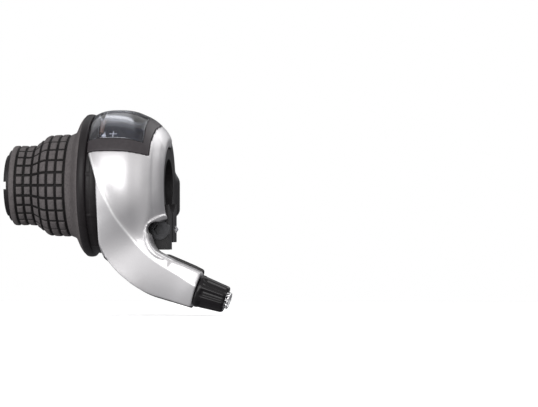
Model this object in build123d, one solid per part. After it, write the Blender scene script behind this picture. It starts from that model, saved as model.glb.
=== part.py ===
"""Left-hand twist-grip gear shifter, built as separate pieces.

Frame, in millimetres: the handlebar runs along X, +X is inboard, +Z is up and -Y is the rider's front
of the unit. The origin is the centre of the handlebar clamp. Angles round the bar are counted from the
front (-Y) upwards, so 90 degrees is the top.
"""

import math
import os

from build123d import (
    Axis,
    Box,
    Edge,
    Face,
    Plane,
    Polyline,
    Pos,
    Rectangle,
    RectangleRounded,
    RegularPolygon,
    Rot,
    Solid,
    Spline,
    Wire,
    export_step,
    extrude,
    loft,
    make_face,
    revolve,
    sweep,
)

os.makedirs("parts", exist_ok=True)

# Handlebar sleeve and clamp
CLAMP_BORE_R = 11.15
SLEEVE_BORE_R = 11.6
SLEEVE_R = 12.9
SLEEVE_END = -63.0
BULKHEAD_LEFT = -7.5
BULKHEAD_RIGHT = -5.5
BULKHEAD_R = 26.2
CLAMP_R = 15.3
CLAMP_LEFT = -5.8
CLAMP_RIGHT = 5.5
LUG_LEFT = -3.0
LUG_RIGHT = 7.0
BOLT_X = 3.2
BOLT_Z = -18.6

# Twisting grip
CORE_BORE_R = 12.97
CORE_R = 14.6
CORE_LEFT = -59.5
CORE_RIGHT = -10.0
BLOCK_ROWS = 24
GROOVE_DEPTH = 0.8
GROOVE_WIDTH = 0.9
TWIST_DEG = 72.0
CLICK_DEG = 36.0

# Cable drum and indicator
CABLE_X = -10.2
CABLE_R = 16.0
CAM_R = 23.5
NEEDLE_ANGLE = 75.0
NEEDLE_REST_X = -19.6
NEEDLE_TRAVEL = 5.8
PIN_R = 0.7
PIN_SLOT = 0.8
DETENT_ANGLE = 191.0

# Housing
HOUSING_LEFT = -20.8
HOUSING_RIGHT = 6.5
OPENING_R = 16.3
PARTING_TOP = 105.0
PARTING_BOTTOM = -67.0
NECK_PARTING_Y = -12.0
BEZEL_FROM = 27.5
BEZEL_TO = 112.0
LENS_FROM = 39.0
LENS_TO = 106.0
LENS_LEFT = -24.7
LENS_RIGHT = -2.0
SEAM_DEG = 0.15
OUTER = [
    (-25.5, 29.4),
    (-22.5, 30.8),
    (-19.3, 31.5),
    (-15.4, 31.7),
    (-11.2, 31.5),
    (-7.6, 30.8),
    (-4.3, 29.5),
    (-1.1, 28.0),
    (1.8, 25.8),
    (4.5, 22.9),
    (HOUSING_RIGHT, 19.3),
]

# Cable neck: a straight drop, a bend, then a straight run out to the adjuster
NECK_Y = -16.0
BEND_R = 22.0
BEND_CENTRE_Z = -18.0
NECK_TURN = 71.8
NECK_RUN = 15.8
# (degrees round the bend, half width, half depth)
NECK_WIDTHS = [
    (0, 10.5, 8.2),
    (12, 10.5, 8.1),
    (24, 10.1, 7.9),
    (36, 8.9, 7.7),
    (48, 8.1, 7.5),
    (60, 7.8, 7.3),
]
LINER_R = 2.0
LINER_BORE_R = 1.1

# Cable adjuster
KNOB_LENGTH = 12.7
KNOB_BASE_R = 6.9
KNOB_TIP_R = 5.6
KNOB_FLUTES = 9
SEAT_R = 2.55
SEAT_DEPTH = 5.5


def revolved(points):
    """Solid turned about the bar from (x, radius) corners."""
    return revolve(make_face(Polyline(*[(x, 0, r) for x, r in points], close=True)), Axis.X)


def ring(left, right, outer, inner):
    return revolved([(left, inner), (right, inner), (right, outer), (left, outer)])


def smooth_turned(curve, base):
    """Solid turned about the bar: a smooth outer curve closed by straight lines."""
    top = Spline(*[(x, 0, r) for x, r in curve])
    rest = Polyline(*[(x, 0, r) for x, r in [curve[-1]] + base + [curve[0]]])
    return revolve(make_face(top + rest), Axis.X)


def at(radius, degrees):
    """(y, z) of a point at an angle round the bar."""
    angle = math.radians(degrees)
    return (-radius * math.cos(angle), radius * math.sin(angle))


def wedge(left, right, start, end, reach=40.0):
    """Pie slice along the bar between two angles."""
    count = max(2, int((end - start) / 6))
    steps = [start + (end - start) * i / count for i in range(count + 1)]
    corners = [(left, 0, 0)] + [(left, *at(reach, a)) for a in steps]
    return extrude(Face(Wire.make_polygon(corners)), amount=right - left, dir=(1, 0, 0))


def rod(start, end, radius):
    """Round bar between two points."""
    run = [b - a for a, b in zip(start, end)]
    length = math.sqrt(sum(v * v for v in run))
    return Solid.make_cylinder(radius, length, Plane(origin=start, z_dir=tuple(run)))


def block(x, y, z):
    """Box from three (low, high) pairs."""
    middle = [(low + high) / 2 for low, high in (x, y, z)]
    return Pos(*middle) * Box(x[1] - x[0], y[1] - y[0], z[1] - z[0])


def along_bar(radius_at_centre, degrees, left, right, radius):
    """Round bar parallel to the handlebar."""
    y, z = at(radius_at_centre, degrees)
    return rod((left, y, z), (right, y, z), radius)


# Neck centreline
BEND_CENTRE = (CABLE_X + BEND_R, BEND_CENTRE_Z)
TURN = math.radians(NECK_TURN)
NECK_DIR = (math.sin(TURN), 0.0, -math.cos(TURN))
NECK_UP = (math.cos(TURN), 0.0, math.sin(TURN))
BEND_END = (BEND_CENTRE[0] - BEND_R * math.cos(TURN), NECK_Y, BEND_CENTRE[1] - BEND_R * math.sin(TURN))
NECK_END = tuple(BEND_END[i] + NECK_RUN * NECK_DIR[i] for i in range(3))


def on_neck(along, up=0.0, across=0.0):
    """Point counted from the neck's end face, along the adjuster's axis."""
    return (
        NECK_END[0] + along * NECK_DIR[0] + up * NECK_UP[0],
        NECK_END[1] + across,
        NECK_END[2] + along * NECK_DIR[2] + up * NECK_UP[2],
    )


def neck_rod(start, end, radius):
    return rod(on_neck(start), on_neck(end), radius)


def bend_point(degrees):
    angle = math.radians(degrees)
    x = BEND_CENTRE[0] - BEND_R * math.cos(angle)
    z = BEND_CENTRE[1] - BEND_R * math.sin(angle)
    forward = (math.sin(angle), 0.0, -math.cos(angle))
    inward = (math.cos(angle), 0.0, math.sin(angle))
    return (x, NECK_Y, z), forward, inward


def neck_section(place, half_width, half_depth):
    point, forward, inward = place
    corner = 0.78 * min(half_width, half_depth)
    plane = Plane(origin=point, x_dir=inward, z_dir=forward)
    return plane * RectangleRounded(2 * half_width, 2 * half_depth, corner)


def neck_solid(wall, end):
    """The neck's skin moved inwards by a wall thickness, up to a distance from its end face."""
    down = ((CABLE_X, NECK_Y, -12.0), (0, 0, -1), (1, 0, 0))
    sections = [neck_section(down, 10.5 - wall, 8.2 - wall)]
    for degrees, half_width, half_depth in NECK_WIDTHS:
        sections.append(neck_section(bend_point(degrees), half_width - wall, half_depth - wall))
    sections.append(neck_section((BEND_END, NECK_DIR, NECK_UP), 7.6 - wall, 7.2 - wall))
    finish = (on_neck(end), NECK_DIR, NECK_UP)
    sections.append(neck_section(finish, 7.25 - wall, 7.05 - wall))
    return loft(sections, ruled=True)


def cable_path(radius, first_degrees):
    """Round bar along the cable's bend and straight run, from an angle on the bend."""
    top, forward, inward = bend_point(first_degrees)
    middle = bend_point((first_degrees + NECK_TURN) / 2)[0]
    arc = Edge.make_three_point_arc(top, middle, BEND_END)
    straight = Edge.make_line(BEND_END, on_neck(-13.1))
    face = Plane(origin=top, x_dir=inward, z_dir=forward) * make_face(Edge.make_circle(radius))
    return sweep(face, path=Wire([arc, straight]))


# Housing skin
body_full = smooth_turned(OUTER, [(HOUSING_RIGHT, 0), (OUTER[0][0], 0)])
body_outer = body_full & ring(HOUSING_LEFT, 10, 40, 0)
rounded_edge = [(-22, 40), (-22, 29.3), (HOUSING_LEFT, 29.3), (-20.1, 30.5), (-18.4, 31.2), (-17.6, 40)]
body_outer = body_outer - revolved(rounded_edge)
chamber = revolved([
    (-30, 0),
    (-30, 28.9),
    (-9.2, 28.9),
    (-7.6, 28.2),
    (-7.6, 26.3),
    (-5.4, 26.3),
    (-5.4, 27.0),
    (-1.1, 25.4),
    (1.8, 22.8),
    (4.2, 18.5),
    (4.2, OPENING_R),
    (10, OPENING_R),
    (10, 0),
])
tip = (body_full - ring(-30, 10, 29.15, 0)) & wedge(-24.4, HOUSING_LEFT + 0.1, 4, BEZEL_FROM - 0.15)
slant = [(-24.5, -40, 0), (-24.5, -40, 11.6), (HOUSING_LEFT, -40, 2.0), (HOUSING_LEFT, -40, 0)]
tip = tip - extrude(Face(Wire.make_polygon(slant)), amount=40, dir=(0, 1, 0))

neck_outer = neck_solid(0.0, 0.0)
neck_inner = neck_solid(2.1, -14.5)

# Room for the clamp lugs, the tool's scoop and the window
lug_room = block((LUG_LEFT - 1.6, 12), (-11.6, 12.6), (-29.0, -11.0))
scoop = rod((8.3, -45, -21.5), (8.3, -11.0, -21.5), 7.4)
tool_way = rod((BOLT_X, -45, BOLT_Z), (BOLT_X, -11.0, BOLT_Z), 3.4)
window = wedge(-26, 2.3, BEZEL_FROM - 0.1, BEZEL_TO + 0.1) - ring(-30, 10, 21.5, 0)

# Seats in the neck's end for the knob's skirt, the threaded insert and the liner
end_seats = neck_rod(-3.6, 1, 5.28) + neck_rod(-13.0, -3, 4.5) + neck_rod(-15.5, -12, LINER_R + 0.05)

# Two screws close the covers: one over the clamp, one beside the cable's passage
TOP_SCREW = (1.5, 18.8)
TOP_SCREW_Y = (-2.0, 15.0)
NECK_SCREW = (-10.4, -34.2)
NECK_SCREW_Y = (-20.4, -9.6)
HEAD_R = 2.05
HEAD_LENGTH = 1.65


def screw_line(place, low, high, radius):
    return rod((place[0], low, place[1]), (place[0], high, place[1]), radius)


top_boss = screw_line(TOP_SCREW, -3.2, 19.0, 2.3) & body_outer
neck_boss = screw_line(NECK_SCREW, -22.5, -9.3, 2.2) & neck_outer


def cover(body_zone, neck_zone, extra):
    """One half of the housing: its share of the body and of the neck, hollowed out."""
    half = (body_outer & body_zone) + (neck_outer & neck_zone)
    if extra is not None:
        half = half + extra
    half = half - chamber - neck_inner
    half = half - lug_room - scoop - tool_way - window
    half = half + (top_boss & body_zone) + (neck_boss & neck_zone)
    half = half - end_seats
    half = half - screw_line(TOP_SCREW, TOP_SCREW_Y[0] - 0.2, 20, 1.15)
    half = half - screw_line(TOP_SCREW, TOP_SCREW_Y[1] - HEAD_LENGTH, 30, HEAD_R + 0.1)
    half = half - screw_line(NECK_SCREW, NECK_SCREW_Y[0] - 0.2, -5, 1.15)
    return half - screw_line(NECK_SCREW, NECK_SCREW_Y[1] - HEAD_LENGTH, 0, HEAD_R + 0.1)


front_body = wedge(-60, 60, PARTING_BOTTOM, PARTING_TOP)
front_neck = block((-60, 60), (-60, NECK_PARTING_Y), (-80, -14))
front_cover = cover(front_body, front_neck, tip)
back_body = wedge(-60, 60, PARTING_TOP + SEAM_DEG, 360 + PARTING_BOTTOM - SEAM_DEG)
back_neck = block((-60, 60), (NECK_PARTING_Y + 0.06, 20), (-80, -29.5))
back_cover = cover(back_body, back_neck, None)

# Indicator window
bezel_inner = revolved([
    (-26, 0),
    (-26, 29.15),
    (-20.5, 29.15),
    (-20.5, 27.1),
    (-2.5, 27.1),
    (-2.5, 25.5),
    (-1.1, 25.2),
    (3, 22.4),
    (3, 0),
])
LENS_UNDER = [(-30, 29.15), (-20.9, 29.15), (-19.9, 28.6), (-3.5, 27.9), (-1.5, 27.3)]


def under_lens(lift):
    """Everything inside the lens's inner face, moved outwards by a small lift."""
    return revolved([(-30, 0)] + [(x, r + lift) for x, r in LENS_UNDER] + [(-1.5, 0)])


bezel_block = body_full & wedge(-25.0, 2.2, BEZEL_FROM, BEZEL_TO)
lens_seat = wedge(-30.0, LENS_RIGHT + 0.1, LENS_FROM - 0.1, LENS_TO + 0.1) - under_lens(0.0)
sight = wedge(-20.4, -3.6, LENS_FROM + 2.0, LENS_TO - 2.0)
indicator_bezel = bezel_block - bezel_inner - lens_seat - sight
lens_block = body_full & wedge(LENS_LEFT, LENS_RIGHT, LENS_FROM, LENS_TO)
indicator_lens = lens_block - under_lens(0.06)
needle_slot_left = NEEDLE_REST_X - PIN_SLOT
needle_slot_right = NEEDLE_REST_X + NEEDLE_TRAVEL + PIN_SLOT
dial_zone = wedge(-20.45, -2.8, LENS_FROM - 1, LENS_TO + 1)
indicator_dial = ring(-20.45, -2.8, 27.0, 26.4) & dial_zone
needle_y, needle_z = at(1.0, NEEDLE_ANGLE)
slot_origin = (0, 26.7 * needle_y, 26.7 * needle_z)
slot_plane = Plane(origin=slot_origin, x_dir=(1, 0, 0), z_dir=(0, needle_y, needle_z))
slot_middle = (needle_slot_left + needle_slot_right) / 2
slot_length = needle_slot_right - needle_slot_left
slot_face = slot_plane * Pos(slot_middle, 0) * Rectangle(slot_length, 2 * PIN_SLOT)
indicator_dial = indicator_dial - extrude(slot_face, amount=2, both=True)

# Needle: a pin in the drum's cam slot carries a hairline round the window
pin_low = (NEEDLE_REST_X, 22.6 * needle_y, 22.6 * needle_z)
pin_high = (NEEDLE_REST_X, 27.5 * needle_y, 27.5 * needle_z)
hairline = ring(NEEDLE_REST_X - 0.6, NEEDLE_REST_X + 0.6, 27.75, 27.3)
hairline = hairline & wedge(NEEDLE_REST_X - 1, NEEDLE_REST_X + 1, 50, 99)
indicator_needle = hairline + rod(pin_low, pin_high, PIN_R)

# Frame: sleeve, bulkhead, clamp ring, lugs and the cable's gate
clamp_frame = ring(SLEEVE_END, BULKHEAD_LEFT, SLEEVE_R, SLEEVE_BORE_R)
clamp_frame = clamp_frame + ring(BULKHEAD_LEFT, BULKHEAD_RIGHT, BULKHEAD_R, SLEEVE_BORE_R)
clamp_frame = clamp_frame + ring(BULKHEAD_RIGHT, CLAMP_RIGHT, CLAMP_R, CLAMP_BORE_R)
front_lug = block((LUG_LEFT, LUG_RIGHT), (-11, -1), (-27, -8))
rear_lug = block((LUG_LEFT, LUG_RIGHT), (1, 12), (-24, -8))
lugs = front_lug + rear_lug
clamp_frame = clamp_frame + (lugs - ring(-20, 20, CLAMP_BORE_R + 0.5, 0))
clamp_frame = clamp_frame - ring(BULKHEAD_RIGHT - 0.2, LUG_RIGHT + 1, CLAMP_BORE_R, 0)
clamp_frame = clamp_frame - block((BULKHEAD_RIGHT, 20), (-1, 1), (-40, 0))
relief = ring(BULKHEAD_RIGHT, CLAMP_LEFT + 1.5, 30, 0)
relief = relief & wedge(BULKHEAD_RIGHT, CLAMP_LEFT + 1.5, 150, 390)
clamp_frame = clamp_frame - relief
clamp_frame = clamp_frame - rod((BOLT_X, -20, BOLT_Z), (BOLT_X, 20, BOLT_Z), 2.65)
clamp_frame = clamp_frame - rod((BOLT_X, -20, BOLT_Z), (BOLT_X, -7.5, BOLT_Z), 4.4)
nut_plane = Plane(origin=(BOLT_X, 8.0, BOLT_Z), x_dir=(1, 0, 0), z_dir=(0, 1, 0))
clamp_frame = clamp_frame - extrude(nut_plane * RegularPolygon(4.7, 6), amount=10)
gate = block((-12.4, BULKHEAD_RIGHT), (NECK_Y - 2.9, NECK_Y + 2.9), (-25.4, -20.6))
clamp_frame = clamp_frame + gate - cable_path(LINER_R + 0.05, 0)
clamp_frame = clamp_frame - ring(-61.65, -60.55, 20, 12.4)
for turn in range(4):
    y, z = at(12.0, 90.0 * turn)
    notch = block((SLEEVE_END - 1, SLEEVE_END + 1.2), (y - 1.55, y + 1.55), (z - 1.55, z + 1.55))
    clamp_frame = clamp_frame - notch
SPRING_SCREW_ANGLE = 232.0
clamp_frame = clamp_frame - along_bar(21.9, SPRING_SCREW_ANGLE, BULKHEAD_LEFT - 1, -5.9, 0.92)

# Clamp fasteners
head_plane = Plane(origin=(BOLT_X, -11.4, BOLT_Z), x_dir=(1, 0, 0), z_dir=(0, 1, 0))
clamp_bolt = rod((BOLT_X, -11.4, BOLT_Z), (BOLT_X, -7.5, BOLT_Z), 4.25)
clamp_bolt = clamp_bolt + rod((BOLT_X, -7.5, BOLT_Z), (BOLT_X, 12.4, BOLT_Z), 2.5)
clamp_bolt = clamp_bolt - extrude(head_plane * RegularPolygon(2.31, 6), amount=2.6)
clamp_nut = extrude(nut_plane * Pos(0, 0, 0.05) * RegularPolygon(4.6, 6), amount=3.9)
clamp_nut = clamp_nut - rod((BOLT_X, 0, BOLT_Z), (BOLT_X, 20, BOLT_Z), 2.52)

# Cover screws: pan heads with a cross recess
cover_screws = []
for (x, z), (tip_y, head_y) in ((TOP_SCREW, TOP_SCREW_Y), (NECK_SCREW, NECK_SCREW_Y)):
    screw = rod((x, head_y, z), (x, head_y - HEAD_LENGTH, z), HEAD_R)
    screw = screw + rod((x, head_y - HEAD_LENGTH, z), (x, tip_y, z), 1.1)
    screw = screw - block((x - 1.3, x + 1.3), (head_y - 0.9, head_y + 1), (z - 0.3, z + 0.3))
    screw = screw - block((x - 0.3, x + 0.3), (head_y - 0.9, head_y + 1), (z - 1.3, z + 1.3))
    cover_screws.append(screw)
cover_screws = cover_screws[0] + cover_screws[1]

# Detent: a leaf spring on the bulkhead drops into notches on the drum's steel ring
detent_ring = ring(-12.15, -11.45, 23.2, 19.05)
for click in range(3):
    y, z = at(23.8, DETENT_ANGLE - CLICK_DEG * click)
    detent_ring = detent_ring - rod((-13, y, z), (-11, y, z), 1.35)
arm = ring(-12.1, -11.2, 24.9, 24.6) & wedge(-13, -11, DETENT_ANGLE - 4, 236)
riser = ring(-12.1, BULKHEAD_LEFT - 0.05, 24.9, 24.6) & wedge(-13, -7, 228, 236)
foot = ring(-7.9, BULKHEAD_LEFT - 0.05, 24.9, 20.1) & wedge(-8, -7, 228, 236)
nose = along_bar(23.8, DETENT_ANGLE, -12.1, -11.2, 0.95)
detent_spring = arm + riser + foot + nose
detent_spring = detent_spring - along_bar(21.9, SPRING_SCREW_ANGLE, -8.5, -7, 0.95)
spring_screw = along_bar(21.9, SPRING_SCREW_ANGLE, -8.35, -7.95, 1.6)
spring_screw = spring_screw + along_bar(21.9, SPRING_SCREW_ANGLE, -7.95, -6.0, 0.9)

# Drum: cam cylinder, splined hub and cable groove
cable_drum = revolved([
    (-20.5, CORE_R + 0.05),
    (-20.5, 17.0),
    (-13.6, 17.0),
    (-13.6, 20.5),
    (-21.0, 20.5),
    (-21.0, CAM_R),
    (-12.2, CAM_R),
    (-12.2, 19.0),
    (-11.3, 19.0),
    (-11.3, CABLE_R),
    (-9.1, CABLE_R),
    (-9.1, 19.0),
    (-8.5, 19.0),
    (-8.5, CORE_R + 0.05),
])
run_out = 2.0
turn_run = (TWIST_DEG + 2 * run_out) / TWIST_DEG
cam_pitch = NEEDLE_TRAVEL * 360.0 / TWIST_DEG
helix = Edge.make_helix(cam_pitch, NEEDLE_TRAVEL * turn_run, 22.95, (0, 0, 0), (1, 0, 0))
start = helix @ 0
cutter_plane = Plane(origin=start, x_dir=(0, start.Y, start.Z), z_dir=helix % 0)
cutter = sweep(cutter_plane * Rectangle(1.5, 2 * PIN_SLOT), path=helix, is_frenet=True)
cam_start = NEEDLE_REST_X - NEEDLE_TRAVEL * run_out / TWIST_DEG
cutter = Pos(cam_start, 0, 0) * Rot(90 - NEEDLE_ANGLE - run_out, 0, 0) * cutter
cable_drum = cable_drum - cutter
nipple_y, nipple_z = at(16.4, 24.0)
cable_drum = cable_drum - rod((-12.0, nipple_y, nipple_z), (-8.0, nipple_y, nipple_z), 2.3)
key = block((-20.5, -13.0), (-1.0, 1.0), (CORE_R - 0.5, CORE_R + 1.0))
keys = [Rot(120 * turn, 0, 0) * key for turn in range(3)]
keyway = block((-21, -12.9), (-1.05, 1.05), (CORE_R - 0.5, CORE_R + 1.1))
for turn in range(3):
    cable_drum = cable_drum - Rot(120 * turn, 0, 0) * keyway

friction_washer = ring(-8.4, -7.6, 18.0, 13.0)

# Grip core: tube, cone, flange, rim and skirt
grip_core = revolved([
    (CORE_LEFT, CORE_BORE_R),
    (CORE_RIGHT, CORE_BORE_R),
    (CORE_RIGHT, CORE_R),
    (-25.6, CORE_R),
    (-25.6, 26.2),
    (-21.3, 26.2),
    (-21.3, 28.2),
    (-23.4, 28.5),
    (-25.5, 28.6),
    (-25.6, 29.6),
    (-26.2, 30.0),
    (-28.4, 30.0),
    (-28.9, 29.6),
    (-28.9, 28.6),
    (-30.4, 24.8),
    (-32.0, 19.5),
    (-34.5, 18.2),
    (-47.0, 18.0),
    (-51.0, CORE_R),
    (CORE_LEFT, CORE_R),
])
grip_core = grip_core - revolved([
    (-27.0, CORE_R + 2),
    (-25.0, CORE_R + 2),
    (-25.0, 26.2),
    (-27.0, 26.2),
])
for solid in keys:
    grip_core = grip_core + solid
# Raised bars on the skirt, one per gear position
for click in range(3):
    first = 8 - CLICK_DEG * click
    bar = ring(-24.6, -22.4, 28.8, 28.0) & wedge(-25, -22, first, first + 3)
    grip_core = grip_core + bar

# Rubber sleeve with rows of square blocks
GRIP = [
    (-60.4, 15.4),
    (-60.4, 16.0),
    (-59.8, 16.7),
    (-51.6, 16.8),
    (-49.0, 18.0),
    (-47.3, 19.5),
    (-45.1, 21.0),
    (-42.5, 21.3),
    (-35.2, 21.6),
    (-32.6, 22.9),
    (-31.7, 25.0),
    (-30.2, 28.2),
    (-28.95, 29.2),
]
rubber_inside = [
    (-28.95, 28.6),
    (-30.45, 24.8),
    (-32.05, 19.5),
    (-34.5, 18.25),
    (-47.05, 18.05),
    (-51.05, CORE_R + 0.02),
    (-59.5, CORE_R + 0.02),
    (-59.5, 15.4),
]
grip_sleeve = revolved(GRIP + rubber_inside)
COLUMN_GROOVES = (-57.5, -54.0, -50.5, -47.1, -43.4, -39.6, -36.0)
floor = [(x, r - GROOVE_DEPTH) for x, r in GRIP[2:9]]
groove_floor = revolved([(floor[0][0], 0)] + floor + [(floor[-1][0], 0)])
grooves = ring(-36.45, -35.55, 40, 20)
for x in COLUMN_GROOVES[:-1]:
    grooves = grooves + ring(x - GROOVE_WIDTH / 2, x + GROOVE_WIDTH / 2, 40, 10)
row = block((COLUMN_GROOVES[0], COLUMN_GROOVES[-1]), (-GROOVE_WIDTH / 2, GROOVE_WIDTH / 2), (10, 40))
for turn in range(BLOCK_ROWS):
    grooves = grooves + Rot(360.0 / BLOCK_ROWS * turn, 0, 0) * row
grip_sleeve = grip_sleeve - (grooves - groove_floor)

thrust_washer = ring(-60.4, -59.6, 15.0, SLEEVE_R + 0.1)
retaining_ring = ring(-61.6, -60.6, 14.9, 12.45) - block((-62, -60), (-0.9, 0.9), (-20, 0))

cable_guide = cable_path(LINER_R, 7.6) - cable_path(LINER_BORE_R, 7.6)

# Cable adjuster
thread_insert = neck_rod(-12.95, -3.75, 4.45) - neck_rod(-14, -3, 2.52)
knob_base = Plane(origin=on_neck(0.3), z_dir=NECK_DIR)
adjuster_knob = Solid.make_cone(KNOB_BASE_R, KNOB_TIP_R, KNOB_LENGTH, knob_base)
adjuster_knob = adjuster_knob + neck_rod(-3.3, 0.6, 5.2)
for flute in range(KNOB_FLUTES):
    turn = math.radians(360.0 / KNOB_FLUTES * (flute + 0.5))
    up = math.cos(turn)
    across = math.sin(turn)
    near = on_neck(2.2, (KNOB_BASE_R + 0.75) * up, (KNOB_BASE_R + 0.75) * across)
    far = on_neck(14.5, (KNOB_TIP_R + 0.7) * up, (KNOB_TIP_R + 0.7) * across)
    adjuster_knob = adjuster_knob - rod(near, far, 1.3)
key_plane = Plane(origin=on_neck(0), x_dir=NECK_UP, z_dir=NECK_DIR)
adjuster_knob = adjuster_knob - neck_rod(-4, 14, 3.7)
adjuster_knob = adjuster_knob - extrude(key_plane * Pos(0, 0, 1.0) * Rectangle(9.2, 2.1), amount=13)
adjuster_bolt = neck_rod(-12.6, 1.9, 2.47) + neck_rod(1.7, 14.5, 3.6)
adjuster_bolt = adjuster_bolt + extrude(key_plane * Pos(0, 0, 1.7) * Rectangle(9.0, 2.0), amount=6.3)
adjuster_bolt = adjuster_bolt - neck_rod(-13, 15, LINER_BORE_R)
adjuster_bolt = adjuster_bolt - neck_rod(14.5 - SEAT_DEPTH, 15, SEAT_R)
SPRING_WIRE_R = 0.35
coil = Edge.make_helix(1.05, 4.2, 3.1, on_neck(-3.2), NECK_DIR)
wire_face = Plane(origin=coil @ 0, z_dir=coil % 0) * make_face(Edge.make_circle(SPRING_WIRE_R))
adjuster_spring = sweep(wire_face, path=coil, is_frenet=True)

pieces = {
    "clamp_frame": clamp_frame,
    "clamp_bolt": clamp_bolt,
    "clamp_nut": clamp_nut,
    "front_cover": front_cover,
    "back_cover": back_cover,
    "cover_screws": cover_screws,
    "indicator_bezel": indicator_bezel,
    "indicator_lens": indicator_lens,
    "indicator_dial": indicator_dial,
    "indicator_needle": indicator_needle,
    "detent_spring": detent_spring,
    "spring_screw": spring_screw,
    "cable_guide": cable_guide,
    "thread_insert": thread_insert,
    "retaining_ring": retaining_ring,
    "thrust_washer": thrust_washer,
    "friction_washer": friction_washer,
    "grip_core": grip_core,
    "grip_sleeve": grip_sleeve,
    "cable_drum": cable_drum,
    "detent_ring": detent_ring,
    "adjuster_knob": adjuster_knob,
    "adjuster_bolt": adjuster_bolt,
    "adjuster_spring": adjuster_spring,
}
for name, shape in pieces.items():
    export_step(shape, f"parts/{name}.step")
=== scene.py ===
"""Looks for the twist-grip shifter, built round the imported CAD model.

Shapes are worked out in millimetres in the frame of the part: +X inboard along the bar, +Z up, -Y to the
front, origin at the centre of the clamp. Angles round the bar are counted from the front upwards.
"""

import math

import bmesh
import bpy
import numpy as np
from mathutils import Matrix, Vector


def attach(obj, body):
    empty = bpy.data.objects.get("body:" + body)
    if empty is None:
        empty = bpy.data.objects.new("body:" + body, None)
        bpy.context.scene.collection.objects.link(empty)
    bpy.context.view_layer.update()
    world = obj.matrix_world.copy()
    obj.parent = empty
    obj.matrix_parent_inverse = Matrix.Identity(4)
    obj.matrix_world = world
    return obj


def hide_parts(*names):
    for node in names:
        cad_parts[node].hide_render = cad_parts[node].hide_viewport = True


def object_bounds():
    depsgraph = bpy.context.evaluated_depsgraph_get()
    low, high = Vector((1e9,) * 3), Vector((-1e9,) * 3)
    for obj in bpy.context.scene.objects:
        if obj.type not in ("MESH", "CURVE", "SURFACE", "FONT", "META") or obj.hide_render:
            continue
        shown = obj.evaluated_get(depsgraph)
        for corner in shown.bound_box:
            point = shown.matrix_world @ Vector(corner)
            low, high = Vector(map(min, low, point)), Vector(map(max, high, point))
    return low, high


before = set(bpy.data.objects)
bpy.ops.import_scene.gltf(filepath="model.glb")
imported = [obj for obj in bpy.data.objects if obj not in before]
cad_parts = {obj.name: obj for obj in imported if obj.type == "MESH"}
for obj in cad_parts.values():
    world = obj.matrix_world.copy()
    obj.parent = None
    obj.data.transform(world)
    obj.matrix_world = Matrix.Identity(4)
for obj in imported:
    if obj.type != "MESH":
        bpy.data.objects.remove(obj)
cad_box = [list(corner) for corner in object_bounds()]

MM = 0.001
ROOT = "shifter_body"
GRIP = "twist_grip"

# Housing, in millimetres
GRID = 0.45
FIELD_LOW = (-26.5, -35.0, -54.0)
FIELD_HIGH = (24.5, 35.0, 34.0)
HOUSING_LEFT = -20.8
HOUSING_RIGHT = 6.5
OPENING_R = 16.3
WALL = 2.0
SEAM = 0.11
PARTING_TOP = 105.0
PARTING_BOTTOM = -67.0
NECK_PARTING_Y = -12.0
OVER_SKIRT_R = 29.15  # inside radius of what reaches over the grip's skirt
BODY_BLEND = 5.0  # fillet between the round body and the neck

# Window and dial
BEZEL_ANGLES = (27.5, 112.0)
BEZEL_X = (-25.0, 2.2)
BEZEL_STEP_X = -20.5
LENS_ANGLES = (39.0, 106.0)
LENS_X = (-24.7, -2.0)
LENS_UNDER = ([-24.7, -20.9, -19.9, -3.5, -2.0], [29.2, 29.2, 28.65, 27.95, 27.5])
DIAL_X = (-20.45, -2.8)
DIAL_ANGLES = (39, 107)
DIAL_R = 27.0
DIAL_THICKNESS = 0.6
SLOT_X = (-20.4, -13.0)
SLOT_ANGLE = 75
SLOT_HALF = 1.72

# Neck: down beside the body, round a bend, then straight to the adjuster
NECK_Y = -16.0
CABLE_X = -10.2
BEND_R = 22.0
BEND_Z = -18.0
TURN = math.radians(71.8)
NECK_RUN = 15.8

# Scoop cut into the front, and the clamp bolt's axis inside it, as (x, z)
SCOOP = (8.3, -21.5)
SCOOP_R = 7.4
SCOOP_FLOOR_Y = -11.0
LIP_WIDTH = 1.9
LIP_HEIGHT = 0.75
LIP_LEFT = -5.0
BOLT = (3.2, -18.6)
TOOL_R = 3.4

# Room inside the covers for the clamp's lugs
LUGS_LEFT = -4.6
LUGS_Y = (-11.6, 12.6)
LUGS_Z = (-29.0, -11.0)

# Radius and depth, from the neck's end, of the seats for the adjuster's knob and threaded insert
KNOB_SEAT = (5.3, 3.6)
INSERT_SEAT = (4.5, 13.0)
NECK_SOLID = 14.5  # length of the neck's end that isn't hollow

# The body's turned profile: (x, radius)
OUTER = [
    (-25.5, 29.4),
    (-22.5, 30.8),
    (-19.3, 31.5),
    (-15.4, 31.7),
    (-11.2, 31.5),
    (-7.6, 30.8),
    (-4.3, 29.5),
    (-1.1, 28.0),
    (1.8, 25.8),
    (4.5, 22.9),
    (HOUSING_RIGHT, 19.3),
]
BEND_X = CABLE_X + BEND_R
NECK_DIR = np.array([math.sin(TURN), 0.0, -math.cos(TURN)])
NECK_UP = np.array([math.cos(TURN), 0.0, math.sin(TURN)])
BEND_END = np.array([BEND_X - BEND_R * math.cos(TURN), NECK_Y, BEND_Z - BEND_R * math.sin(TURN)])
NECK_END = BEND_END + NECK_RUN * NECK_DIR
BEND_LENGTH = BEND_R * TURN
NECK_LENGTH = BEND_LENGTH + NECK_RUN


# ---------------------------------------------------------------- mesh helpers


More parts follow.
